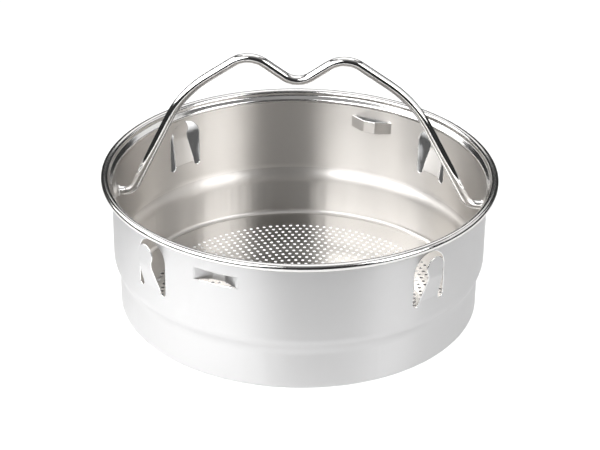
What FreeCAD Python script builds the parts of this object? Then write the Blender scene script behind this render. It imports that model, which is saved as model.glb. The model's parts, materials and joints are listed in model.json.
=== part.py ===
"""Steamer basket with a swinging wire bail, in millimetres.

The basket stands on its flat base: the origin is the middle of the base, +Z is up, and +X runs along
the bail's pivot axis towards the right-hand pivot hole. The front is towards -Y. The basket is one
pressing, divided here along its forming features; the bail is one wire.
"""
import FreeCAD, Part
import math
import os

import Sketcher
from FreeCAD import Placement, Rotation, Vector

SIZES = [
    # the drawn shell: radii are to the outer skin, heights are above the base
    ("sheet_gauge", 0.6), ("basket_height", 80.0), ("rim_radius", 110.0), ("bead_radius", 2.2),
    ("bead_curl", 100.0), ("wall_radius", 104.0), ("flare_bottom", 73.2), ("step_top", 30.0),
    ("step_bottom", 24.0), ("lower_radius", 100.8), ("corner_radius", 3.0),
    # the floor: ring n of the holes lies n pitches out and has n times holes_per_ring holes
    ("ring_pitch", 3.9), ("ring_count", 21.0), ("holes_per_ring", 6.0), ("hole_radius", 1.0),
    # keyhole slots, and the rest tabs that stand in them
    ("slot_azimuth", 45.0), ("slot_width", 22.0), ("slot_top", 71.8), ("slot_bottom", 41.0),
    ("leg_gap", 4.2), ("tab_root", 43.6), ("tab_crease", 58.3), ("tab_top", 70.2),
    ("tab_lean", 4.5), ("tab_return", 0.4), ("head_radius", 5.7), ("neck_width", 9.6),
    # stop bridges, pushed in from windows in the wall
    ("bridge_azimuth", 69.0), ("bridge_bottom", 60.1), ("bridge_height", 7.0),
    ("bridge_length", 26.0), ("bridge_flat", 7.0), ("bridge_depth", 5.0),
    # dished bosses round the pivot holes
    ("pivot_height", 62.3), ("boss_radius", 5.5), ("boss_depth", 1.3), ("dish_radius", 3.6),
    ("lip_depth", 1.0), ("pivot_clearance", 0.05),
    # the bail: corners of its route from the pivot axis's middle, and the bend at each corner
    ("wire_diameter", 5.2), ("end_reach", 106.0), ("heel_reach", 94.0), ("shoulder_reach", 63.4),
    ("shoulder_rise", 61.2), ("hump_reach", 26.0), ("hump_rise", 86.7), ("dip_rise", 68.5),
    ("heel_bend", 8.0), ("shoulder_bend", 66.0), ("hump_bend", 15.3), ("dip_bend", 12.7),
    ("crown_offset", 2.5), ("head_length", 1.4), ("upset_radius", 3.6),
]

doc = FreeCAD.newDocument("SteamerBasket")
sheet = doc.addObject("Spreadsheet::Sheet", "sizes")
for row, (alias, value) in enumerate(SIZES, start=1):
    sheet.set("A%d" % row, alias)
    sheet.set("B%d" % row, "%g" % value)
    sheet.setAlias("B%d" % row, alias)
doc.recompute()
ALIASES = {alias for alias, value in SIZES}
nodes = []


# ---------------------------------------------------------------- reading and binding the sheet
def size(expression):
    """The number that an expression of the sheet's aliases gives."""
    return float(sheet.evalExpression(expression))


def bound(expression):
    """The expression with each alias written the way an object outside the sheet refers to it."""
    text, word = "", ""
    for letter in expression + " ":
        if letter.isalnum() or letter == "_":
            word += letter
        else:
            text += ("sizes." + word if word in ALIASES else word) + letter
            word = ""
    return text.strip()


def bind(thing, prop, expression):
    thing.setExpression(prop, bound(expression))


# ---------------------------------------------------------------- bodies and sketches
def new_body(label):
    body = doc.addObject("PartDesign::Body", label)
    body.Label = label
    nodes.append(body)
    return body


def new_sketch(body, name, plane, azimuth="0"):
    """A sketch on one of the body's origin planes, swung about Z by the azimuth."""
    sketch = body.newObject("Sketcher::SketchObject", name)
    face = [feature for feature in body.Origin.OriginFeatures if feature.Role == plane][0]
    sketch.AttachmentSupport = [(face, "")]
    sketch.MapMode = "FlatFace"
    sketch.AttachmentOffset = Placement(Vector(), Rotation(Vector(0, 1, 0), size(azimuth)))
    return sketch


def fix_end(sketch, edge, end, place):
    """Holds one end of an edge at its place, an (across, up) pair of expressions."""
    for kind, expression in zip(("DistanceX", "DistanceY"), place):
        rule = Sketcher.Constraint(kind, -1, 1, edge, end, size(expression))
        index = sketch.addConstraint(rule)
        bind(sketch, "Constraints[%d]" % index, expression)


def short_arc(start, finish, radius):
    """The short arc between two points; a positive radius turns left and a negative one right."""
    chord = finish - start
    rise = math.sqrt(max(radius ** 2 - (chord.Length / 2) ** 2, 0.0))
    left = Vector(-chord.y, chord.x, 0).normalize()
    centre = (start + finish) / 2 + left * math.copysign(rise, radius)
    begin, end = (start, finish) if radius > 0 else (finish, start)
    turns = [math.atan2(point.y - centre.y, point.x - centre.x) for point in (begin, end)]
    if turns[1] < turns[0]:
        turns[1] += 2 * math.pi
    circle = Part.Circle(centre, Vector(0, 0, 1), abs(radius))
    return Part.ArcOfCircle(circle, turns[0], turns[1])


def outline(sketch, corners):
    """A closed outline through corners (across, up) or (across, up, radius).

    A third expression makes the edge that leaves the corner an arc of that radius, which turns left
    when it is positive and right when it is negative.
    """
    for corner, following in zip(corners, corners[1:] + corners[:1]):
        start = Vector(size(corner[0]), size(corner[1]), 0)
        finish = Vector(size(following[0]), size(following[1]), 0)
        ends = (1, 2)
        if len(corner) == 2:
            edge = sketch.addGeometry(Part.LineSegment(start, finish))
        else:
            radius = size(corner[2])
            edge = sketch.addGeometry(short_arc(start, finish, radius))
            rule = sketch.addConstraint(Sketcher.Constraint("Radius", edge, abs(radius)))
            bind(sketch, "Constraints[%d]" % rule, "abs(%s)" % corner[2])
            ends = (1, 2) if radius > 0 else (2, 1)
        fix_end(sketch, edge, ends[0], corner[:2])
        fix_end(sketch, edge, ends[1], following[:2])


def revolve(body, sketch, axis="V_Axis"):
    turned = body.newObject("PartDesign::Revolution", body.Label + "_turned")
    turned.Profile = sketch
    turned.ReferenceAxis = (sketch, [axis])
    turned.Angle = 360


def cut_outward(body, sketch, name, copies=1):
    """Cuts the sketch through everything on the side its plane faces, and repeats it about Z."""
    pocket = body.newObject("PartDesign::Pocket", name)
    pocket.Profile = sketch
    pocket.Type = "ThroughAll"
    pocket.Reversed = True
    if copies > 1:
        doc.recompute()
        pattern = body.newObject("PartDesign::PolarPattern", name + "_pattern")
        pattern.Originals = [pocket]
        pattern.Axis = (sketch, ["V_Axis"])
        pattern.Angle = 360
        pattern.Occurrences = copies
        body.Tip = pattern


# ---------------------------------------------------------------- the drawn shell
def rolled_rim():
    """The lip flares out of the wall and rolls over into a hollow bead."""
    body = new_body("rolled_rim")
    sketch = new_sketch(body, "rim_section", "XZ_Plane")
    middle, level = "(rim_radius - bead_radius)", "(basket_height - bead_radius)"
    inner = "(bead_radius - sheet_gauge)"
    outline(sketch, [
        ("wall_radius - sheet_gauge", "flare_bottom"),
        (middle + " - bead_radius", level, "-bead_radius"),
        (middle, "basket_height", "-bead_radius"),
        ("rim_radius", level, "-bead_radius"),
        (middle + " + bead_radius * cos(bead_curl)", level + " - bead_radius * sin(bead_curl)"),
        (middle + " + %s * cos(bead_curl)" % inner, level + " - %s * sin(bead_curl)" % inner, inner),
        (middle + " + " + inner, level, inner),
        (middle, level + " + " + inner, inner),
        (middle + " - " + inner, level),
        ("wall_radius", "flare_bottom"),
    ])
    revolve(body, sketch)


def upper_wall():
    """A straight cylinder with four keyhole slots, two bridge windows and two boss holes.

    Its section is drawn at the front, so that the turned surface's seam crosses no opening.
    """
    body = new_body("upper_wall")
    section = new_sketch(body, "upper_wall_section", "XZ_Plane", "270")
    outline(section, [
        ("wall_radius - sheet_gauge", "step_top"),
        ("wall_radius", "step_top"),
        ("wall_radius", "flare_bottom"),
        ("wall_radius - sheet_gauge", "flare_bottom"),
    ])
    revolve(body, section)
    doc.recompute()

    slot = new_sketch(body, "slot_outline", "YZ_Plane", "slot_azimuth")
    side, leg, arch = "slot_width / 2", "leg_gap / 2", "slot_top - slot_width / 2"
    outline(slot, [
        (side + " - leg_gap / 2", "slot_bottom", leg),
        (side, "slot_bottom + leg_gap / 2"),
        (side, arch, side),
        ("0", "slot_top", side),
        ("-" + side, arch),
        ("-" + side, "slot_bottom + leg_gap / 2", leg),
        ("leg_gap / 2 - " + side, "slot_bottom", leg),
        ("leg_gap - " + side, "slot_bottom + leg_gap / 2"),
        ("leg_gap - " + side, "tab_root"),
        (side + " - leg_gap", "tab_root"),
        (side + " - leg_gap", "slot_bottom + leg_gap / 2", leg),
    ])
    cut_outward(body, slot, "slots", 4)
    doc.recompute()

    window = new_sketch(body, "window_outline", "YZ_Plane", "bridge_azimuth")
    outline(window, [
        ("-bridge_length / 2", "bridge_bottom"),
        ("bridge_length / 2", "bridge_bottom"),
        ("bridge_length / 2", "bridge_bottom + bridge_height"),
        ("-bridge_length / 2", "bridge_bottom + bridge_height"),
    ])
    cut_outward(body, window, "windows", 2)
    doc.recompute()

    hole = new_sketch(body, "boss_hole_outline", "YZ_Plane")
    centre = Vector(0, size("pivot_height"), 0)
    edge = hole.addGeometry(Part.Circle(centre, Vector(0, 0, 1), size("boss_radius")))
    fix_end(hole, edge, 3, ("0", "pivot_height"))
    rule = hole.addConstraint(Sketcher.Constraint("Radius", edge, size("boss_radius")))
    bind(hole, "Constraints[%d]" % rule, "boss_radius")
    cut_outward(body, hole, "boss_holes", 2)


def lower_wall():
    """The wall steps in through a taper, runs straight down and turns into the base."""
    body = new_body("lower_wall")
    sketch = new_sketch(body, "lower_wall_section", "XZ_Plane")
    outline(sketch, [
        ("wall_radius", "step_top"),
        ("lower_radius", "step_bottom"),
        ("lower_radius", "corner_radius", "-corner_radius"),
        ("lower_radius - corner_radius", "0"),
        ("lower_radius - corner_radius", "sheet_gauge", "corner_radius - sheet_gauge"),
        ("lower_radius - sheet_gauge", "corner_radius"),
        ("lower_radius - sheet_gauge", "step_bottom"),
        ("wall_radius - sheet_gauge", "step_top"),
    ])
    revolve(body, sketch)


def perforated_floor():
    """A flat disc pierced by rings of holes, with one hole in the middle."""
    origin, up = Vector(), Vector(0, 0, 1)
    rim = Part.Circle(origin, up, size("lower_radius - corner_radius"))
    hole = size("hole_radius")
    rings = [rim, Part.Circle(origin, up, hole)]
    for ring in range(1, int(size("ring_count")) + 1):
        holes = ring * int(size("holes_per_ring"))
        spoke = Vector(ring * size("ring_pitch"), 0, 0)
        for index in range(holes):
            centre = Rotation(up, 360.0 * index / holes).multVec(spoke)
            rings.append(Part.Circle(centre, up, hole))
    wires = [Part.Wire(circle.toShape()) for circle in rings]
    face = Part.makeFace(wires, "Part::FaceMakerBullseye")
    floor = doc.addObject("Part::Feature", "perforated_floor")
    floor.Shape = face.extrude(Vector(0, 0, size("sheet_gauge")))
    floor.Label = "perforated_floor"
    nodes.append(floor)


# ---------------------------------------------------------------- features lanced from the wall
def rest_tab(label, azimuth):
    """A round-headed tab: its neck leans out of the slot and its head turns back upright."""
    body = new_body(label)
    bent = new_sketch(body, label + "_section", "XZ_Plane")
    out = "wall_radius + tab_lean"
    outline(bent, [
        ("wall_radius - sheet_gauge", "tab_root"),
        ("wall_radius", "tab_root"),
        (out, "tab_crease"),
        (out + " - tab_return", "tab_top"),
        (out + " - tab_return - sheet_gauge", "tab_top"),
        (out + " - sheet_gauge", "tab_crease"),
    ])
    blank = body.newObject("PartDesign::Pad", label + "_blank")
    blank.Profile = bent
    blank.Midplane = True
    bind(blank, "Length", "slot_width")
    doc.recompute()

    trim = new_sketch(body, label + "_trim", "YZ_Plane")
    outline(trim, [
        ("-slot_width", "slot_bottom"),
        ("slot_width", "slot_bottom"),
        ("slot_width", "slot_top"),
        ("-slot_width", "slot_top"),
    ])
    root, neck = "(slot_width / 2 - leg_gap)", "neck_width / 2"
    neck_level = "tab_top - head_radius - sqrt(head_radius ^ 2 - (neck_width / 2) ^ 2)"
    outline(trim, [
        (root, "tab_root"),
        (neck, neck_level, "head_radius"),
        ("0", "tab_top", "head_radius"),
        ("-" + neck, neck_level),
        ("-" + root, "tab_root"),
    ])
    cut_outward(body, trim, label + "_trimmed")
    body.Placement = Placement(Vector(), Rotation(Vector(0, 0, 1), azimuth))


def stop_bridge(label, azimuth):
    """A strip still joined to the wall at both ends and pushed inward between two ramps."""
    body = new_body(label)
    sketch = new_sketch(body, label + "_plan", "XY_Plane")
    end, flat = "bridge_length / 2", "bridge_flat / 2"
    outer_end = "sqrt(wall_radius ^ 2 - (bridge_length / 2) ^ 2)"
    inner_end = "sqrt((wall_radius - sheet_gauge) ^ 2 - (bridge_length / 2) ^ 2)"
    outer, inner = "wall_radius - bridge_depth", "wall_radius - bridge_depth - sheet_gauge"
    outline(sketch, [
        (inner_end, "-" + end),
        (outer_end, "-" + end),
        (outer, "-" + flat),
        (outer, flat),
        (outer_end, end),
        (inner_end, end),
        (inner, flat),
        (inner, "-" + flat),
    ])
    strip = body.newObject("PartDesign::Pad", label + "_strip")
    strip.Profile = sketch
    bind(strip, "Length", "bridge_height")
    turn = Rotation(Vector(0, 0, 1), azimuth)
    body.Placement = Placement(Vector(0, 0, size("bridge_bottom")), turn)


def pivot_boss(label, azimuth):
    """The wall is dished inward round the pivot hole, which ends in a short turned lip."""
    body = new_body(label)
    sketch = new_sketch(body, label + "_section", "XZ_Plane")
    bore = "wire_diameter / 2 + pivot_clearance"
    face = "wall_radius - boss_depth"
    outline(sketch, [
        ("wall_radius - sheet_gauge", "boss_radius"),
        ("wall_radius", "boss_radius"),
        (face, "dish_radius"),
        (face, bore),
        (face + " - sheet_gauge - lip_depth", bore),
        (face + " - sheet_gauge - lip_depth", bore + " + sheet_gauge"),
        (face + " - sheet_gauge", bore + " + sheet_gauge"),
        (face + " - sheet_gauge", "dish_radius"),
    ])
    revolve(body, sketch, "H_Axis")
    turn = Rotation(Vector(0, 0, 1), azimuth)
    body.Placement = Placement(Vector(0, 0, size("pivot_height")), turn)


# ---------------------------------------------------------------- the bail
def bail_route():
    """Corners (x, z) of the wire's route and the bend at each; the crown sits off to the left."""
    shift = size("crown_offset / hump_rise")
    half = [
        ("end_reach", "0", "0"),
        ("heel_reach", "0", "heel_bend"),
        ("shoulder_reach", "shoulder_rise", "shoulder_bend"),
        ("hump_reach", "hump_rise", "hump_bend"),
    ]
    right = [(size(reach), size(rise), size(bend)) for reach, rise, bend in half]
    left = [(-reach, rise, bend) for reach, rise, bend in reversed(right)]
    corners = right + [(0.0, size("dip_rise"), size("dip_bend"))] + left
    return [(Vector(reach - shift * rise, 0, rise), bend) for reach, rise, bend in corners]


def rounded_wire(corners):
    """Straight runs joined by tangent arcs, each of its own corner's radius."""
    edges = []
    last = corners[0][0]
    for (before, _), (corner, bend), (after, _) in zip(corners, corners[1:], corners[2:]):
        back, ahead = (before - corner).normalize(), (after - corner).normalize()
        half_angle = back.getAngle(ahead) / 2
        reach = bend / math.tan(half_angle)
        inward = (back + ahead).normalize()
        middle = corner + inward * (bend / math.sin(half_angle) - bend)
        start, finish = corner + back * reach, corner + ahead * reach
        edges.append(Part.LineSegment(last, start).toShape())
        edges.append(Part.Arc(start, middle, finish).toShape())
        last = finish
    edges.append(Part.LineSegment(last, corners[-1][0]).toShape())
    return Part.Wire(edges)


def bail_handle():
    """Round wire swept along its route, with an upset head on each end outside the wall."""
    route = doc.addObject("Part::Feature", "bail_route")
    route.Shape = rounded_wire(bail_route())
    section = doc.addObject("Part::Circle", "bail_section")
    bind(section, "Radius", "wire_diameter / 2")
    section.Placement = Placement(Vector(size("end_reach"), 0, 0), Rotation(Vector(0, 1, 0), -90))
    wire = doc.addObject("Part::Sweep", "bail_wire")
    wire.Sections = [section]
    wire.Spine = (route, ["Edge%d" % (index + 1) for index in range(len(route.Shape.Edges))])
    wire.Solid = True
    wire.Frenet = False
    heads = []
    for name, side in (("right_head", 1), ("left_head", -1)):
        head = doc.addObject("Part::Cylinder", name)
        bind(head, "Radius", "upset_radius")
        bind(head, "Height", "head_length")
        inner_face = Vector(side * size("end_reach - head_length"), 0, 0)
        head.Placement = Placement(inner_face, Rotation(Vector(0, 1, 0), side * 90))
        heads.append(head)
    bail = doc.addObject("Part::MultiFuse", "bail_handle")
    bail.Shapes = [wire] + heads
    bail.Label = "bail_handle"
    bail.Placement = Placement(Vector(0, 0, size("pivot_height")), Rotation())
    nodes.append(bail)


# ---------------------------------------------------------------- build, check and write
def check_document():
    for thing in doc.Objects:
        if "Invalid" in thing.State or "Error" in thing.State:
            raise RuntimeError("%s failed: %s" % (thing.Label, thing.State))
    for node in nodes:
        if node.Shape.isNull() or not node.Shape.isValid() or len(node.Shape.Solids) != 1:
            raise RuntimeError("%s is not one valid solid" % node.Label)


rolled_rim()
upper_wall()
lower_wall()
perforated_floor()
azimuth = size("slot_azimuth")
rest_tab("rest_tab_rear_right", azimuth)
rest_tab("rest_tab_rear_left", azimuth + 90)
rest_tab("rest_tab_front_left", azimuth + 180)
rest_tab("rest_tab_front_right", azimuth + 270)
stop_bridge("stop_bridge_rear", size("bridge_azimuth"))
stop_bridge("stop_bridge_front", size("bridge_azimuth") + 180)
pivot_boss("pivot_boss_right", 0)
pivot_boss("pivot_boss_left", 180)
bail_handle()
doc.recompute()
check_document()

os.makedirs("parts", exist_ok=True)
for node in nodes:
    node.Shape.exportStep("parts/%s.step" % node.Label)
    box = node.Shape.BoundBox
    print("%-22s %9.1f mm3  x %7.1f %7.1f  y %7.1f %7.1f  z %6.1f %6.1f" % (
        node.Label, node.Shape.Volume, box.XMin, box.XMax, box.YMin, box.YMax, box.ZMin, box.ZMax))
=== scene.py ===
"""Steamer basket: a drawn steel basket with lanced tabs and a swinging wire bail, in a white studio.

Every piece is one of three kinds of mesh: sheet metal turned about Z, sheet metal cut from a flat
plan and wrapped on a surface, or round wire swept along its route. Lengths are in metres. Angles
are in radians, and azimuths in degrees.
"""
import json
import math

import bpy
from mathutils import Matrix, Vector
from mathutils.geometry import delaunay_2d_cdt


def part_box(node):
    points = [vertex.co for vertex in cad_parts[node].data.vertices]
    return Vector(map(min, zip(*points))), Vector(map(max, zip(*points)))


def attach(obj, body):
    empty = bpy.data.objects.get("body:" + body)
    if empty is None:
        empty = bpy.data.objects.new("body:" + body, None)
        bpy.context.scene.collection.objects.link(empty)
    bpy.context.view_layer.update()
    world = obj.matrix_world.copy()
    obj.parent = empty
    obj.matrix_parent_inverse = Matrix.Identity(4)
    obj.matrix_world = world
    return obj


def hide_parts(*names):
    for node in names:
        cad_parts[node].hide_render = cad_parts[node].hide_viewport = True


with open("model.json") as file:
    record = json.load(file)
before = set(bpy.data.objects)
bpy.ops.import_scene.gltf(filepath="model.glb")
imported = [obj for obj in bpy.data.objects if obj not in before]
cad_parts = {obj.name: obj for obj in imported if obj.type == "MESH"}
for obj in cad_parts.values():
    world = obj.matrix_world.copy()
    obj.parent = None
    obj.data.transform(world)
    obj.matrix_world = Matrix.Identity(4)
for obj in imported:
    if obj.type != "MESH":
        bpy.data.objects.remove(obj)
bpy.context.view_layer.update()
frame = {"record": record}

# ---------------------------------------------------------------- sizes
MM = 0.001
NEAR = 0.01 * MM  # points closer than this are in line
GAUGE = 0.6 * MM
EDGE_EASE = 0.28 * MM
rim_low, rim_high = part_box("rolled_rim")
wall_low, wall_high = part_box("upper_wall")
floor_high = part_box("perforated_floor")[1]
tab_low, tab_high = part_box("rest_tab_rear_right")
bridge_low, bridge_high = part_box("stop_bridge_rear")
boss_low, boss_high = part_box("pivot_boss_right")
bail_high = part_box("bail_handle")[1]

# the drawn shell
HEIGHT = rim_high[2]
RIM_RADIUS = rim_high[0]
FLARE_BOTTOM = rim_low[2]
FLARE_RISE = 1.2 * MM
FLARE_BEND = 2 * MM
BEAD = 2.2 * MM
BEAD_FOOT = 1.0 * MM  # the flare ends this far under the bead's centre
BEAD_TAIL = 0.4 * MM  # the sheet curls this far past the bead's centre
WALL = wall_high[0] - GAUGE / 2
STEP_TOP = wall_low[2]
STEP_BOTTOM = STEP_TOP - 6 * MM
STEP_EASE = 2.9 * MM
LOWER = 100.5 * MM
CORNER = 2.7 * MM
COLUMNS = 360
SHELL_RUN, SHELL_TURN = 1 * MM, math.radians(7.5)
LOWER_ROWS = 48

# the floor and its holes
FLOOR_RADIUS = floor_high[0]
FLOOR_LEVEL = GAUGE / 2
RING_PITCH = 3.9 * MM
RING_COUNT = 21
HOLES_PER_RING = 6
HOLE_RADIUS = 1.0 * MM
HOLE_SIDES = 16
HOLE_EASE = 0.06 * MM

# the upper wall's flat plan
SEAM = math.radians(100)
STEP_ROWS, STEP_ROW = 9, 0.5 * MM
WALL_ROWS = 11
FILL_CLEARANCE = 0.8 * MM

# keyhole slots and the tabs lanced from them
SLOT_AZIMUTHS = {"rear_right": 45, "rear_left": 135, "front_left": 225, "front_right": 315}
SLOT_HALF = 11 * MM
SLOT_TOP = 71.8 * MM
SLOT_BOTTOM = 41 * MM
SLOT_ARCH = SLOT_TOP - SLOT_HALF
LEG_GAP = 4.2 * MM
LEG = LEG_GAP / 2
TAB_HALF = SLOT_HALF - LEG_GAP
TAB_ROOT = tab_low[2]
TAB_TOP = tab_high[2]
TAB_CREASE = 58.3 * MM
TAB_LEAN = 4.5 * MM
TAB_RETURN = 0.7 * MM
TAB_REACH = 9 * MM  # the lean's line goes on this far past the tab's ends
TAB_BEND = 1.3 * MM
TAB_STEPS = 24
TAB_GRID = (0.7 * MM, 0.6 * MM)
TAB_CLEARANCE = 0.4 * MM
HEAD_RADIUS = 5.7 * MM
NECK_HALF = 4.8 * MM
NECK_LEVEL = TAB_TOP - HEAD_RADIUS - math.sqrt(HEAD_RADIUS ** 2 - NECK_HALF ** 2)

# windows and the bridges pushed in from them
BRIDGE_AZIMUTHS = {"rear": 69, "front": 249}
BRIDGE_BOTTOM = bridge_low[2]
BRIDGE_TOP = bridge_high[2]
BRIDGE_HALF = 13 * MM
BRIDGE_FLAT = 3.5 * MM  # half of the flat middle
BRIDGE_DEPTH = 5 * MM
BRIDGE_BEND = 0.9 * MM
BRIDGE_BLEND = 2.5 * MM  # each end joins the wall over this width
BRIDGE_COLUMNS, BRIDGE_ROWS = 80, 8

# dished bosses round the pivot bores
BOSS_AZIMUTHS = {"right": 0, "left": 180}
PIVOT = Vector(frame["record"]["behaviour"]["joints"][0]["pos_m"])
BOSS_RADIUS = (boss_high[2] - boss_low[2]) / 2
BOSS_DEPTH = 1.3 * MM
BOSS_HALF_ANGLE = 5  # degrees round the wall that hold a whole boss
BOSS_SPOKES = 48
DISH_LIP = 0.4 * MM
DISH_BEND = 0.5 * MM
DISH_FLAT = 3.7 * MM
COLLAR = 1.0 * MM
COLLAR_BEND = 0.35 * MM

# the bail
WIRE = 2.6 * MM
WIRE_SIDES = 40
BORE = WIRE + 0.05 * MM + GAUGE / 2
CROWN_SHEAR = 2.5 / 86.7
BAIL_HALF = (  # reach from the middle, rise above the pivot, bend radius
    (bail_high[0], 0, 0),
    (94.0 * MM, 0, 8.0 * MM),
    (63.4 * MM, 61.2 * MM, 66.0 * MM),
    (26.0 * MM, 86.7 * MM, 15.3 * MM),
)
BAIL_DIP = (0.0, 68.5 * MM, 12.7 * MM)
UPSET_HEAD = (  # distance from the wire's end and radius there, in millimetres
    (0.0, 2.9), (0.15, 3.3), (0.45, 3.55), (0.7, 3.6),
    (0.95, 3.55), (1.25, 3.3), (1.4, 2.95), (1.45, 2.6),
)
HEAD_REACH = 2 * MM


# ---------------------------------------------------------------- flat routes with round bends
class Route:
    """Straight runs through (x, y, bend) corners, with an arc of its own radius at each inner corner."""

    def __init__(self, corners):
        self.parts = []
        points = [Vector(corner[:2]) for corner in corners]
        last = points[0]
        for index in range(1, len(points) - 1):
            corner, bend = points[index], corners[index][2]
            ahead = (points[index + 1] - corner).normalized()
            back = (points[index - 1] - corner).normalized()
            half = back.angle(ahead) / 2
            reach = bend / math.tan(half)
            centre = corner + (back + ahead).normalized() * (bend / math.sin(half))
            self.add_run(last, corner + back * reach)
            begin = corner + back * reach - centre
            end = corner + ahead * reach - centre
            sweep = math.atan2(begin.x * end.y - begin.y * end.x, begin.dot(end))
            first = math.atan2(begin.y, begin.x)
            self.parts.append(("bend", centre, bend, first, sweep, abs(sweep) * bend))
            last = corner + ahead * reach
        self.add_run(last, points[-1])
        self.length = sum(part[-1] for part in self.parts)

    def add_run(self, start, finish):
        """Add the straight run between two points, unless they are the same point."""
        length = (finish - start).length
        if length > 1e-7:
            self.parts.append(("run", start, (finish - start) / length, length))

    def at(self, distance):
        """The point and the direction of travel at a distance along the route."""
        for number, part in enumerate(self.parts):
            if distance <= part[-1] or number == len(self.parts) - 1:
                break
            distance -= part[-1]
        if part[0] == "run":
            return part[1] + part[2] * distance, part[2]
        _, centre, bend, first, sweep, length = part
        turn = first + sweep * distance / length
        spoke = Vector((math.cos(turn), math.sin(turn)))
        return centre + spoke * bend, Vector((-spoke.y, spoke.x)) * math.copysign(1, sweep)

    def along(self, distance):
        """The point at a distance, straight on past the start where it is negative."""
        point, heading = self.at(max(distance, 0))
        return point + heading * min(distance, 0)

    def stations(self, run_step, turn_step):
        """Distances along the route, no further apart than a step on a run or an angle on a bend."""
        marks, start = [0.0], 0.0
        for part in self.parts:
            size = part[-1] / run_step if part[0] == "run" else abs(part[4]) / turn_step
            count = max(1, math.ceil(size))
            marks += [start + part[-1] * (k + 1) / count for k in range(count)]
            start += part[-1]
        return marks


def eased(position, corners, ease):
    """Height of the broken line through corners at a position, with each inner corner eased."""
    for (x0, y0), (x1, y1), (x2, y2) in zip(corners, corners[1:], corners[2:]):
        if abs(position - x1) < ease:
            slope_in, slope_out = (y1 - y0) / (x1 - x0), (y2 - y1) / (x2 - x1)
            along = position - x1 + ease
            turned = (slope_out - slope_in) * along ** 2 / (4 * ease)
            return y1 - slope_in * ease + slope_in * along + turned
    for (x0, y0), (x1, y1) in zip(corners, corners[1:]):
        if position <= x1:
            break
    return y0 + (y1 - y0) * (position - x0) / (x1 - x0)


# ---------------------------------------------------------------- flat plans
def line(start, finish, steps):
    """Points on a straight line, with both its ends."""
    return [tuple(a + (b - a) * k / steps for a, b in zip(start, finish)) for k in range(steps + 1)]


def arc(centre, radius, first, last, steps):
    """Points on an arc between two angles in degrees, with both its ends."""
    turns = [math.radians(first + (last - first) * k / steps) for k in range(steps + 1)]
    return [(centre[0] + radius * math.cos(t), centre[1] + radius * math.sin(t)) for t in turns]


def circle(centre, radius, sides, first=0, last=360):
    """Points round a circle, each one once."""
    return arc(centre, radius, first, last, sides)[:-1]


def grid(across, along, closed=False):
    """Plan and faces of a grid of flat points; a closed grid joins its last column to its first."""
    rows, columns = len(along), len(across)
    faces = []
    for column in range(columns if closed else columns - 1):
        here, there = column * rows, (column + 1) % columns * rows
        faces += [[here + k, there + k, there + k + 1, here + k + 1] for k in range(rows - 1)]
    return [(u, v) for u in across for v in along], faces


def full_turn(count):
    """Angles evenly round a circle."""
    return [2 * math.pi * k / count for k in range(count)]


def inside(point, loop):
    """Whether a flat point lies inside a closed loop of flat points."""
    found = False
    for (x0, y0), (x1, y1) in zip(loop, loop[1:] + loop[:1]):
        if (y0 > point[1]) != (y1 > point[1]):
            if point[0] < x0 + (x1 - x0) * (point[1] - y0) / (y1 - y0):
                found = not found
    return found


def cut_sheet(loops, fill=()):
    """Plan and triangles of a flat sheet: the first loop is its outline and the others are openings."""
    flat, owner, edges = [], [], []
    for number, loop in enumerate(loops):
        start = len(flat)
        flat += [Vector(point) / MM for point in loop]
        owner += [number] * len(loop)
        edges += [(start + i, start + (i + 1) % len(loop)) for i in range(len(loop))]
    flat += [Vector(point) / MM for point in fill]
    owner += [-1] * len(fill)
    points, _, faces, sources, _, _ = delaunay_2d_cdt(flat, edges, [], 0, 1e-7, True)
    owners = [owner[source[0]] for source in sources]
    kept = []
    for face in faces:
        number = owners[face[0]]
        if number >= 0 and owners[face[1]] == number and owners[face[2]] == number:
            centre = sum((points[i] for i in face), Vector((0, 0))) / 3 * MM
            if inside(centre, loops[number]) == (number > 0):
                continue
        kept.append(list(face))
    return [tuple(point * MM) for point in points], kept


# ---------------------------------------------------------------- pieces
def make_piece(name, points, faces, normals, body, materials, node, finishes=None):
    """A piece with a given normal at each corner of each face, riding on a body for one CAD node.

    finishes gives each face the number of its material, where there is more than one.
    """
    mesh = bpy.data.meshes.new(name)
    mesh.from_pydata(points, [], faces)
    mesh.polygons.foreach_set("use_smooth", [True] * len(faces))
    for material in materials:
        mesh.materials.append(material)
    if finishes:
        mesh.polygons.foreach_set("material_index", finishes)
    mesh.normals_split_custom_set(normals)
    piece = bpy.data.objects.new(name, mesh)
    bpy.context.scene.collection.objects.link(piece)
    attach(piece, body)
    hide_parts(node)
    return piece


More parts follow.
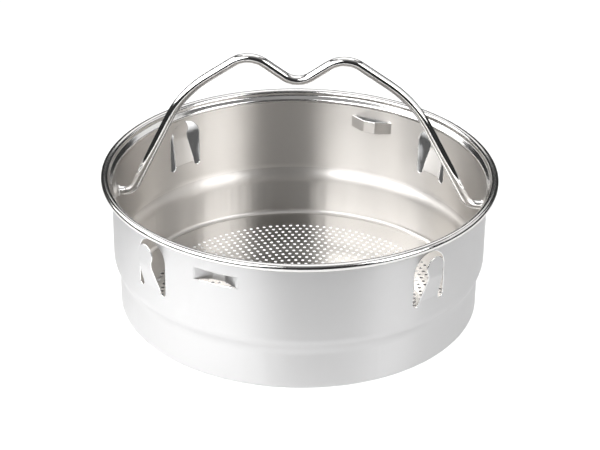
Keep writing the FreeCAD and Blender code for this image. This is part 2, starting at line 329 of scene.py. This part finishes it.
def sheet_metal(name, plan, faces, surface, materials, node, ease=EDGE_EASE, cut=None):
    """Sheet of the gauge about a middle surface, with a material for each side.

    plan holds flat points and faces joins them anticlockwise; surface maps a flat point to space.
    Each edge gets a wall of its own, rounded by the ease where cut says that the edge is a free one.
    """
    step = 1e-6
    middle, up = [], []
    for u, v in plan:
        point = surface(u, v)
        across = surface(u + step, v) - surface(u - step, v)
        along = surface(u, v + step) - surface(u, v - step)
        middle.append(point)
        up.append(across.cross(along).normalized())
    count, half = len(plan), GAUGE / 2
    points = [p + n * half for p, n in zip(middle, up)] + [p - n * half for p, n in zip(middle, up)]
    skins = [tuple(face) for face in faces]
    skins += [tuple(count + i for i in reversed(face)) for face in faces]
    normals = [up[i] for face in faces for i in face]
    normals += [-up[i] for face in faces for i in reversed(face)]

    followed = {(a, b): True for face in faces for a, b in zip(face, face[1:] + face[:1])}
    border = [edge for edge in followed if (edge[1], edge[0]) not in followed]
    ahead = {a: b for a, b in border}
    behind = {b: a for a, b in border}
    profile = [  # how far out and up a point is, then the same two shares of its normal
        (0, half, 0.3, 0.95),
        (0.7 * ease, half - 0.3 * ease, 0.7, 0.7),
        (ease, half - ease, 1, 0.1),
    ]
    profile += [(out, -rise, level, -lift) for out, rise, level, lift in reversed(profile)]
    spots = {}
    for a in ahead:
        out = (middle[ahead[a]] - middle[behind[a]]).cross(up[a]).normalized()
        free = ease and (cut is None or cut(*plan[a]))
        ring = []
        for number, (reach, rise, level, lift) in enumerate(profile):
            if number == 0:
                spot = a
            elif number == len(profile) - 1:
                spot = a + count
            else:
                spot = len(points)
                points.append(middle[a] + out * (reach if free else 0) + up[a] * rise)
            ring.append((spot, (out * level + up[a] * lift if free else out).normalized()))
        spots[a] = ring
    for a, b in border:
        for number in range(len(profile) - 1):
            corners = [spots[b][number], spots[a][number], spots[a][number + 1], spots[b][number + 1]]
            skins.append(tuple(corner[0] for corner in corners))
            normals += [corner[1] for corner in corners]
    finishes = [0] * len(faces) + [1] * len(faces) + [2] * (len(skins) - 2 * len(faces))
    # edge walls take the cut-edge steel, whose light tint is a painted highlight
    materials = (*materials, cut_edge_painted_highlight)
    return make_piece(name, points, skins, normals, "basket", materials, node, finishes)


def turned_sheet(name, marks, section, materials, node):
    """Sheet of the gauge turned about Z; section gives its middle line as (radius, height) at a mark."""
    plan, faces = grid(full_turn(COLUMNS), marks, closed=True)

    def surface(turn, mark):
        point = section(mark)
        return Vector((math.cos(turn) * point.x, math.sin(turn) * point.x, point.y))

    return sheet_metal(name, plan, faces, surface, materials, node, ease=0)


def swept_wire(name, route, stations, body, material, node):
    """Round wire along a route in the plane Y = 0 that starts and ends along X.

    The route is measured from the pivot, and stations are (distance along it, radius there).
    """
    points, normals, faces, corners = [], [], [], []
    for index, (mark, radius) in enumerate(stations):
        spot, heading = route.at(mark)
        side = Vector((-heading.y, 0, heading.x))
        before, after = stations[max(index - 1, 0)], stations[min(index + 1, len(stations) - 1)]
        slope = (after[1] - before[1]) / max(after[0] - before[0], 1e-6)
        for turn in full_turn(WIRE_SIDES):
            spoke = side * math.cos(turn) + Vector((0, 1, 0)) * math.sin(turn)
            points.append(PIVOT + Vector((spot.x, 0, spot.y)) + spoke * radius)
            normals.append((spoke - Vector((heading.x, 0, heading.y)) * slope).normalized())
    for index in range(len(stations) - 1):
        for k in range(WIRE_SIDES):
            a, b = index * WIRE_SIDES + k, index * WIRE_SIDES + (k + 1) % WIRE_SIDES
            faces.append((a, a + WIRE_SIDES, b + WIRE_SIDES, b))
            corners += [normals[i] for i in faces[-1]]
    last = (len(stations) - 1) * WIRE_SIDES
    for start, order, way in ((0, 1, 1), (last, -1, -1)):
        faces.append(tuple(start + k for k in range(WIRE_SIDES))[::order])
        corners += [Vector((way, 0, 0))] * WIRE_SIDES
    return make_piece(name, points, faces, corners, body, (material,), node)


# ---------------------------------------------------------------- materials
def set_inputs(tree, node, inputs):
    """Link each input to a socket or to a node's first output, or else give it a value."""
    for name, value in inputs.items():
        if isinstance(value, bpy.types.Node):
            value = value.outputs[0]
        if isinstance(value, bpy.types.NodeSocket):
            tree.links.new(value, node.inputs[name])
        else:
            node.inputs[name].default_value = value


def add_node(tree, kind, inputs, operation=None):
    """A new node with its inputs set."""
    node = tree.nodes.new(kind)
    if operation:
        node.operation = operation
    set_inputs(tree, node, inputs)
    return node


def set_ramp(node, stops):
    """Give a colour ramp its stops, as (position, colour)."""
    elements = node.color_ramp.elements
    while len(elements) < len(stops):
        elements.new(0.5)
    for element, (position, colour) in zip(elements, stops):
        element.position = position
        element.color = (*colour, 1)


def steel(name, tint, roughness, spread, grain, bump, anisotropic):
    """Steel brushed round Z: grain streaks follow the turning and break up gloss, colour and height.

    The roughness varies by the spread either way, and the grain is its fineness per metre.
    """
    material = bpy.data.materials.new(name)
    material.use_nodes = True
    tree = material.node_tree
    shader = tree.nodes["Principled BSDF"]
    shader.inputs["Metallic"].default_value = 1.0
    shader.inputs["Anisotropic"].default_value = anisotropic
    shader.inputs["Anisotropic Rotation"].default_value = 0.25
    shader.inputs["Specular Tint"].default_value = (0.86, 0.86, 0.86, 1)

    place = add_node(tree, "ShaderNodeTexCoord", {}).outputs["Object"]
    split = add_node(tree, "ShaderNodeSeparateXYZ", {0: place})
    flat = add_node(tree, "ShaderNodeVectorMath", {0: place, 1: (1, 1, 0)}, "MULTIPLY")
    reach = add_node(tree, "ShaderNodeVectorMath", {0: flat}, "LENGTH")
    spoke = add_node(tree, "ShaderNodeVectorMath", {0: flat}, "NORMALIZE")
    if anisotropic:
        turning = add_node(tree, "ShaderNodeVectorMath", {0: (0, 0, 1), 1: spoke}, "CROSS_PRODUCT")
        set_inputs(tree, shader, {"Tangent": turning})

    # streaks are fine across the turned section and long round it; clouds are broad and faint
    section = add_node(tree, "ShaderNodeCombineXYZ", {0: reach.outputs["Value"], 1: split.outputs["Z"]})
    stretched = add_node(tree, "ShaderNodeVectorMath", {0: section, "Scale": grain}, "SCALE")
    around = add_node(
        tree, "ShaderNodeVectorMath", {0: spoke, 1: (0.8, 0.8, 0), 2: stretched}, "MULTIPLY_ADD")
    streaks = add_node(
        tree, "ShaderNodeTexNoise", {"Scale": 1.0, "Detail": 4.0, "Vector": around}).outputs["Fac"]
    clouds = add_node(
        tree, "ShaderNodeTexNoise", {"Scale": 28.0, "Detail": 3.0, "Vector": place}).outputs["Fac"]
    mixed = add_node(tree, "ShaderNodeMath", {0: clouds, 1: 0.35, 2: streaks}, "MULTIPLY_ADD")

    gloss = add_node(tree, "ShaderNodeMapRange", {
        "From Min": 0.35, "From Max": 1.0,
        "To Min": roughness - spread, "To Max": roughness + spread, "Value": mixed,
    })
    shade = add_node(tree, "ShaderNodeValToRGB", {"Fac": mixed})
    set_ramp(shade, [(0.35, [0.975 * value for value in tint]), (0.95, tint)])
    relief = add_node(
        tree, "ShaderNodeBump", {"Strength": bump, "Distance": 0.02 * MM, "Height": streaks})
    set_inputs(tree, shader, {"Roughness": gloss, "Base Color": shade, "Normal": relief})
    return material


satin_outside = steel("satin_outside", (0.600, 0.598, 0.600), 0.35, 0.02, 7000.0, 0.03, 0.85)
# painted light: the inside of the same steel is given a lighter, warmer tint than the outside
satin_inside_painted_light = steel("satin_inside_painted_light", (0.790, 0.768, 0.742), 0.35, 0.02, 7000.0, 0.03, 0.85)
# painted shade: the lower wall's inside is given a darker tint than the upper inside
satin_lower_painted_shade = steel("satin_lower_painted_shade", (0.670, 0.650, 0.628), 0.36, 0.02, 7000.0, 0.03, 0.85)
satin = (satin_outside, satin_inside_painted_light)
floor_steel = steel("floor_steel", (0.600, 0.588, 0.572), 0.15, 0.02, 6000.0, 0.02, 0.6)
polished_rim = steel("polished_rim", (0.74, 0.73, 0.72), 0.16, 0.02, 6000.0, 0.01, 0.0)
polished_wire = steel("polished_wire", (0.86, 0.85, 0.84), 0.08, 0.01, 900.0, 0.0, 0.0)
# painted highlight: the cut edges are given a much lighter tint than the sheet they are cut from
cut_edge_painted_highlight = steel("cut_edge_painted_highlight", (0.93, 0.925, 0.92), 0.20, 0.03, 5000.0, 0.02, 0.0)


# ---------------------------------------------------------------- the drawn shell
middle, level, bead = RIM_RADIUS - BEAD, HEIGHT - BEAD, BEAD - GAUGE / 2
rim_route = Route([
    (WALL, FLARE_BOTTOM, 0),
    (WALL, FLARE_BOTTOM + FLARE_RISE, FLARE_BEND),
    (middle - bead, level - BEAD_FOOT, FLARE_BEND),
    (middle - bead, level + bead, bead),
    (middle + bead, level + bead, bead),
    (middle + bead, level - bead, bead),
    (middle - BEAD_TAIL, level - bead, 0),
])
turned_sheet("rolled_rim_bead", rim_route.stations(SHELL_RUN, SHELL_TURN), rim_route.along,
             (polished_rim, polished_rim), "rolled_rim")

corner_route = Route([
    (FLOOR_RADIUS, FLOOR_LEVEL, 0),
    (LOWER, FLOOR_LEVEL, CORNER),
    (LOWER, 2 * CORNER, 0),
])


def wall_radius(height):
    """Radius of the wall's middle surface, with the drawn step eased into one long curve."""
    corners = [(0, LOWER), (STEP_BOTTOM, LOWER), (STEP_TOP, WALL), (HEIGHT, WALL)]
    return eased(height, corners, STEP_EASE)


def lower_section(mark):
    """The base corner, then the lower wall up to the top of the step."""
    if mark <= corner_route.length:
        return corner_route.along(mark)
    height = 2 * CORNER + mark - corner_route.length
    return Vector((wall_radius(height), height))


straight = STEP_TOP - 2 * CORNER
lower_marks = corner_route.stations(SHELL_RUN, SHELL_TURN)
lower_marks += [corner_route.length + straight * (k + 1) / LOWER_ROWS for k in range(LOWER_ROWS)]
# the lower wall's inside takes the darker tint, painted shade below the step
turned_sheet("lower_wall_drawing", lower_marks, lower_section,
             (satin_outside, satin_lower_painted_shade), "lower_wall")

# the floor, pierced in rings
loops = [circle((0, 0), FLOOR_RADIUS, COLUMNS), circle((0, 0), HOLE_RADIUS, HOLE_SIDES, 360, 0)]
for ring in range(1, RING_COUNT + 1):
    for turn in full_turn(ring * HOLES_PER_RING):
        centre = (ring * RING_PITCH * math.cos(turn), ring * RING_PITCH * math.sin(turn))
        loops.append(circle(centre, HOLE_RADIUS, HOLE_SIDES, 360, 0))
plan, faces = cut_sheet(loops)
sheet_metal("floor_plate", plan, faces, lambda x, y: Vector((x, y, FLOOR_LEVEL)),
            (floor_steel, floor_steel), "perforated_floor", ease=HOLE_EASE)

# ---------------------------------------------------------------- the upper wall
slot_loop = (
    arc((0, SLOT_ARCH), SLOT_HALF, 0, 180, 24)
    + arc((LEG - SLOT_HALF, SLOT_BOTTOM + LEG), LEG, 180, 360, 10)
    + line((-TAB_HALF, TAB_ROOT), (TAB_HALF, TAB_ROOT), 8)
    + arc((SLOT_HALF - LEG, SLOT_BOTTOM + LEG), LEG, 180, 360, 10)
)
window_loop = (
    line((-BRIDGE_HALF, BRIDGE_BOTTOM), (BRIDGE_HALF, BRIDGE_BOTTOM), 12)[:-1]
    + line((BRIDGE_HALF, BRIDGE_BOTTOM), (BRIDGE_HALF, BRIDGE_TOP), 3)[:-1]
    + line((BRIDGE_HALF, BRIDGE_TOP), (-BRIDGE_HALF, BRIDGE_TOP), 12)[:-1]
    + line((-BRIDGE_HALF, BRIDGE_TOP), (-BRIDGE_HALF, BRIDGE_BOTTOM), 3)[:-1]
)
boss_loop = circle((0, PIVOT.z), BOSS_RADIUS, BOSS_SPOKES)


def laid_flat(loop, azimuth):
    """A loop drawn straight across from an azimuth, moved to the wall's flat plan.

    The plan holds (distance round, height), and its distances start at the seam.
    """
    start = WALL * ((math.radians(azimuth) - SEAM) % (2 * math.pi))
    return [(start + WALL * math.asin(across / WALL), height) for across, height in loop]


def on_wall(distance, height):
    """The point of the wall at a point of its flat plan."""
    turn, radius = SEAM + distance / WALL, wall_radius(height)
    return Vector((radius * math.cos(turn), radius * math.sin(turn), height))


def is_clear(point, loops):
    """Whether a point of the plan is outside every opening, and clear of its edge."""
    reach = [(loop, [p[0] for p in loop]) for loop in loops]
    near = [loop for loop, xs in reach if min(xs) - 1 * MM < point[0] < max(xs) + 1 * MM]
    if any(math.dist(point, p) <= FILL_CLEARANCE for loop in near for p in loop):
        return False
    return not any(inside(point, loop) for loop in near)


def joined_at_seam(plan, faces, width):
    """The same sheet with its two ends sharing their points."""
    ends = {round(y / MM, 4): i for i, (x, y) in enumerate(plan) if abs(x) < 1e-6}
    shared = {i: ends[round(y / MM, 4)] for i, (x, y) in enumerate(plan) if abs(x - width) < 1e-6}
    kept = [i for i in range(len(plan)) if i not in shared]
    number = {old: new for new, old in enumerate(kept)}
    number.update({old: number[twin] for old, twin in shared.items()})
    return [plan[i] for i in kept], [[number[i] for i in face] for face in faces]


def wall_is_cut(distance, height):
    """Whether a point on the wall's border is on a free edge, and not on a joint with another piece."""
    if not STEP_TOP + 1 * MM <= height <= FLARE_BOTTOM - 1 * MM:
        return False
    turned = math.degrees(SEAM + distance / WALL)
    away = {azimuth: (turned - azimuth + 180) % 360 - 180 for azimuth in (
        *BOSS_AZIMUTHS.values(), *BRIDGE_AZIMUTHS.values(), *SLOT_AZIMUTHS.values())}
    across = {azimuth: abs(WALL * math.sin(math.radians(angle))) for azimuth, angle in away.items()}
    if any(abs(away[azimuth]) < BOSS_HALF_ANGLE for azimuth in BOSS_AZIMUTHS.values()):
        return False
    for azimuth in BRIDGE_AZIMUTHS.values():
        if BRIDGE_HALF - BRIDGE_BLEND < across[azimuth] < BRIDGE_HALF + NEAR:
            return False
    at_root = abs(height - TAB_ROOT) < NEAR
    return not any(at_root and across[azimuth] < TAB_HALF - NEAR for azimuth in SLOT_AZIMUTHS.values())


openings = [laid_flat(slot_loop, azimuth) for azimuth in SLOT_AZIMUTHS.values()]
openings += [laid_flat(window_loop, azimuth) for azimuth in BRIDGE_AZIMUTHS.values()]
openings += [laid_flat(boss_loop, azimuth) for azimuth in BOSS_AZIMUTHS.values()]
around = 2 * math.pi * WALL
columns = [around * k / COLUMNS for k in range(COLUMNS + 1)]
rows = [STEP_TOP + STEP_ROW * k for k in range(STEP_ROWS)]
rows += [rows[-1] + (FLARE_BOTTOM - rows[-1]) * (k + 1) / WALL_ROWS for k in range(WALL_ROWS)]
outline = [(x, rows[0]) for x in columns] + [(around, y) for y in rows[1:-1]]
outline += [(x, rows[-1]) for x in reversed(columns)] + [(0, y) for y in reversed(rows[1:-1])]
fill = [(x, y) for x in columns[2:-2:2] for y in rows[1:-1] if is_clear((x, y), openings)]
plan, faces = joined_at_seam(*cut_sheet([outline] + openings, fill), around)
# the wall's inside takes the lighter, warmer tint, which is painted light
sheet_metal("upper_wall_drawing", plan, faces, on_wall, satin, "upper_wall",
            cut=wall_is_cut)


# ---------------------------------------------------------------- tabs, bridges and bosses
def outward(azimuth):
    """The level direction away from the axis at an azimuth, and the one to its left."""
    turn = math.radians(azimuth)
    out = Vector((math.cos(turn), math.sin(turn), 0))
    return out, Vector((-out.y, out.x, 0))


LEAN = [
    (TAB_ROOT - TAB_REACH, 0),
    (TAB_ROOT, 0),
    (TAB_CREASE, TAB_LEAN),
    (TAB_TOP + TAB_REACH, TAB_LEAN - TAB_RETURN),
]
half_neck = math.degrees(math.asin(NECK_HALF / HEAD_RADIUS))
tab_loop = (
    line((-TAB_HALF, TAB_ROOT), (TAB_HALF, TAB_ROOT), 8)[:-1]
    + line((TAB_HALF, TAB_ROOT), (NECK_HALF, NECK_LEVEL), TAB_STEPS)[:-1]
    + arc((0, TAB_TOP - HEAD_RADIUS), HEAD_RADIUS, half_neck - 90, 270 - half_neck, 36)
    + line((-NECK_HALF, NECK_LEVEL), (-TAB_HALF, TAB_ROOT), TAB_STEPS)[1:-1]
)
fill = [(i * TAB_GRID[0], TAB_ROOT + j * TAB_GRID[1]) for i in range(-9, 10) for j in range(1, 44)]
fill = [spot for spot in fill if inside(spot, tab_loop)
        and min(math.dist(spot, p) for p in tab_loop) > TAB_CLEARANCE]
plan, faces = cut_sheet([tab_loop], fill)
for place, azimuth in SLOT_AZIMUTHS.items():
    def on_tab(across, height, turn=math.radians(azimuth), out=outward(azimuth)[0]):
        """The wall's cylinder at a straight distance across, leaning out by the height."""
        turn += math.asin(across / WALL)
        flat = Vector((WALL * math.cos(turn), WALL * math.sin(turn), height))
        return flat + out * eased(height, LEAN, TAB_BEND)

    sheet_metal("rest_tab_blank_" + place, plan, faces, on_tab, satin,
                "rest_tab_" + place, cut=lambda across, height: height > TAB_ROOT + NEAR)

PUSH = [
    (-2 * BRIDGE_HALF, 0),
    (-BRIDGE_HALF, 0),
    (-BRIDGE_FLAT, BRIDGE_DEPTH),
    (BRIDGE_FLAT, BRIDGE_DEPTH),
    (BRIDGE_HALF, 0),
    (2 * BRIDGE_HALF, 0),
]
CHORD = math.sqrt(WALL ** 2 - BRIDGE_HALF ** 2)
plan, faces = grid(
    [BRIDGE_HALF * (2 * i / BRIDGE_COLUMNS - 1) for i in range(BRIDGE_COLUMNS + 1)],
    [BRIDGE_BOTTOM + (BRIDGE_TOP - BRIDGE_BOTTOM) * j / BRIDGE_ROWS for j in range(BRIDGE_ROWS + 1)],
)
for place, azimuth in BRIDGE_AZIMUTHS.items():
    def on_bridge(across, height, ways=outward(azimuth)):
        """A strip on the chord across its window, bowed to the wall at its ends and pushed in."""
        share = abs(across) / BRIDGE_HALF
        bow = (math.sqrt(WALL ** 2 - across ** 2) - CHORD) * share ** 4
        sunk = eased(across, PUSH, BRIDGE_BEND) / BRIDGE_DEPTH
        reach = CHORD + bow + (WALL - BRIDGE_DEPTH - CHORD) * sunk
        return ways[0] * reach + ways[1] * across + Vector((0, 0, height))

    sheet_metal("stop_bridge_strip_" + place, plan, faces, on_bridge, satin,
                "stop_bridge_" + place,
                cut=lambda across, height: abs(across) < BRIDGE_HALF - BRIDGE_BLEND)

dish = Route([  # radius from the bore's middle, depth inward
    (BOSS_RADIUS, 0, 0),
    (BOSS_RADIUS - DISH_LIP, 0, DISH_BEND),
    (DISH_FLAT, BOSS_DEPTH, DISH_BEND),
    (BORE, BOSS_DEPTH, COLLAR_BEND),
    (BORE, BOSS_DEPTH + GAUGE / 2 + COLLAR, 0),
])
plan, faces = grid(
    full_turn(BOSS_SPOKES), dish.stations(0.25 * MM, math.radians(15)), closed=True)
for place, azimuth in BOSS_AZIMUTHS.items():
    def on_boss(turn, mark, ways=outward(azimuth)):
        """The dish's section turned round the bore, sunk from the wall's cylinder."""
        spot = dish.along(mark)
        across, rise = spot.x * math.cos(turn), spot.x * math.sin(turn)
        reach = math.sqrt(WALL ** 2 - across ** 2) - spot.y
        return ways[0] * reach + ways[1] * across + Vector((0, 0, PIVOT.z + rise))

    sheet_metal("pivot_boss_dish_" + place, plan, faces, on_boss, satin,
                "pivot_boss_" + place, cut=lambda turn, mark: mark > 1 * MM)

# ---------------------------------------------------------------- the bail
right = [(reach - CROWN_SHEAR * rise, rise, bend) for reach, rise, bend in BAIL_HALF]
left = [(-reach - CROWN_SHEAR * rise, rise, bend) for reach, rise, bend in reversed(BAIL_HALF)]
dip = (-CROWN_SHEAR * BAIL_DIP[1], BAIL_DIP[1], BAIL_DIP[2])
route = Route(right + [dip] + left)
body_marks = [mark for mark in route.stations(2 * MM, math.radians(2.5))
              if HEAD_REACH < mark < route.length - HEAD_REACH]
stations = [(reach * MM, radius * MM) for reach, radius in UPSET_HEAD]
stations += [(mark, WIRE) for mark in body_marks]
stations += [(route.length - reach * MM, radius * MM) for reach, radius in reversed(UPSET_HEAD)]
swept_wire("bail_wire", route, stations, "bail", polished_wire, "bail_handle")

# ---------------------------------------------------------------- studio
BASKET_MIDDLE = (0, 0, 0.05)
TABLE_RADIUS = 0.36
SKY = [(0.0, 0.03), (0.5, 0.04), (0.75, 0.10), (0.9, 0.4), (1.0, 0.5)]
PAPER_WHITE = (1.05, 1.05, 1.05, 1)
SOFTBOXES = {  # centre, width and height, radiance
    "softbox_left": ((-0.95, -0.75, 0.86), (1.85, 1.05), 4.6),
    "softbox_far_left": ((-1.25, 0.33, 0.80), (0.75, 1.0), 3.2),
    "softbox_right": ((1.02, -0.58, 0.72), (0.66, 1.0), 3.9),
    "softbox_far_right": ((1.35, 0.45, 0.85), (1.2, 0.9), 1.0),
    "softbox_rear": ((0.0, 1.1, 1.25), (1.6, 0.85), 1.3),
    "softbox_top": ((0.0, 0.30, 1.6), (1.1, 0.8), 1.2),
}
SUNS = {  # azimuth and elevation in degrees, strength, width in degrees
    "front_sun": (272.5, 29.5, 8.0, 2.5),
    "side_sun": (200, 50, 0.45, 25),
}
SPOTS = {  # centre, the point it faces, power, width, cone in degrees
    "left_spot": ((-0.42, -0.40, 0.50), (-0.17, -0.14, 0), 14, 0.08, 30),
    "floor_spot": ((0, -0.90, 0.75), (0, 0.05, 0), 40, 0.02, 8),
}


def place_light(name, light, centre, facing, glossy):
    """Put a light facing a point, seen by gloss alone or else lighting matt surfaces alone."""
    holder = bpy.data.objects.new(name, light)
    holder.location = centre
    holder.rotation_euler = (Vector(facing) - Vector(centre)).to_track_quat("-Z", "Y").to_euler()
    holder.visible_glossy = glossy
    holder.visible_diffuse = not glossy
    holder.visible_camera = False
    bpy.context.scene.collection.objects.link(holder)


def add_softbox(name, centre, size, radiance):
    """A softbox that shows in the metal; it doesn't light the table."""
    light = bpy.data.lights.new(name, "AREA")
    light.shape = "RECTANGLE"
    light.size, light.size_y = size
    light.energy = radiance * math.pi * size[0] * size[1]
    place_light(name, light, centre, BASKET_MIDDLE, glossy=True)


def add_sun(name, azimuth, elevation, strength, width):
    """A distant light for the table and its shadow; the metal doesn't mirror it."""
    light = bpy.data.lights.new(name, "SUN")
    light.energy = strength
    light.angle = math.radians(width)
    turn, rise = math.radians(azimuth), math.radians(elevation)
    source = (math.cos(turn) * math.cos(rise), math.sin(turn) * math.cos(rise), math.sin(rise))
    place_light(name, light, source, (0, 0, 0), glossy=False)


def add_spot(name, centre, facing, power, width, cone):
    """A spotlight for one patch of the table; the metal doesn't mirror it."""
    light = bpy.data.lights.new(name, "SPOT")
    light.energy = power
    light.shadow_soft_size = width / 2
    light.spot_size = math.radians(cone)
    light.spot_blend = 0.8
    place_light(name, light, centre, facing, glossy=False)


for name, settings in SOFTBOXES.items():
    add_softbox(name, *settings)
for name, settings in SUNS.items():
    add_sun(name, *settings)
for name, settings in SPOTS.items():
    add_spot(name, *settings)
bpy.context.scene.cycles.caustics_reflective = False

table = bpy.data.meshes.new("table")
table.from_pydata([(x, y, 0) for x, y in circle((0, 0), TABLE_RADIUS, 128)], [], [tuple(range(128))])
paper = bpy.data.materials.new("table_paper")
paper.use_nodes = True
set_inputs(paper.node_tree, paper.node_tree.nodes["Principled BSDF"], {
    "Base Color": (0.9, 0.9, 0.9, 1), "Roughness": 0.9, "Specular IOR Level": 0.1,
})
table.materials.append(paper)
ground = bpy.data.objects.new("table", table)
bpy.context.scene.collection.objects.link(ground)

# past the table's edge the world is white to look at, and grey from below to above in the metal
world = bpy.data.worlds.new("studio")
bpy.context.scene.world = world
world.use_nodes = True
tree = world.node_tree
aim = add_node(tree, "ShaderNodeTexCoord", {}).outputs["Generated"]
axes = add_node(tree, "ShaderNodeSeparateXYZ", {0: aim})
bands = add_node(tree, "ShaderNodeValToRGB", {"Fac": axes.outputs["Z"]})
bands.color_ramp.interpolation = "EASE"
set_ramp(bands, [(position, [value] * 3) for position, value in SKY])
sight = add_node(tree, "ShaderNodeLightPath", {}).outputs["Is Camera Ray"]
backdrop = tree.nodes.new("ShaderNodeMix")
backdrop.data_type = "RGBA"
set_inputs(tree, backdrop, {0: sight, 6: bands, 7: PAPER_WHITE})
set_inputs(tree, tree.nodes["Background"], {"Color": backdrop.outputs[2]})
world.cycles_visibility.diffuse = False

# ---------------------------------------------------------------- camera
VIEW_FROM = Vector((0.0605, -0.9891, 0.5763))
VIEW_ALONG = Vector((-0.05339, 0.87964, -0.47259))
VIEW_ROLL = math.radians(0.75)
lens = bpy.data.cameras.new("camera")
lens.lens = 120
lens.sensor_width = 36
viewer = bpy.data.objects.new("camera", lens)
viewer.matrix_world = (
    Matrix.Translation(VIEW_FROM)
    @ VIEW_ALONG.to_track_quat("-Z", "Y").to_matrix().to_4x4()
    @ Matrix.Rotation(VIEW_ROLL, 4, "Z")
)
bpy.context.scene.collection.objects.link(viewer)
bpy.context.scene.camera = viewer
bpy.context.scene.view_settings.view_transform = "Standard"
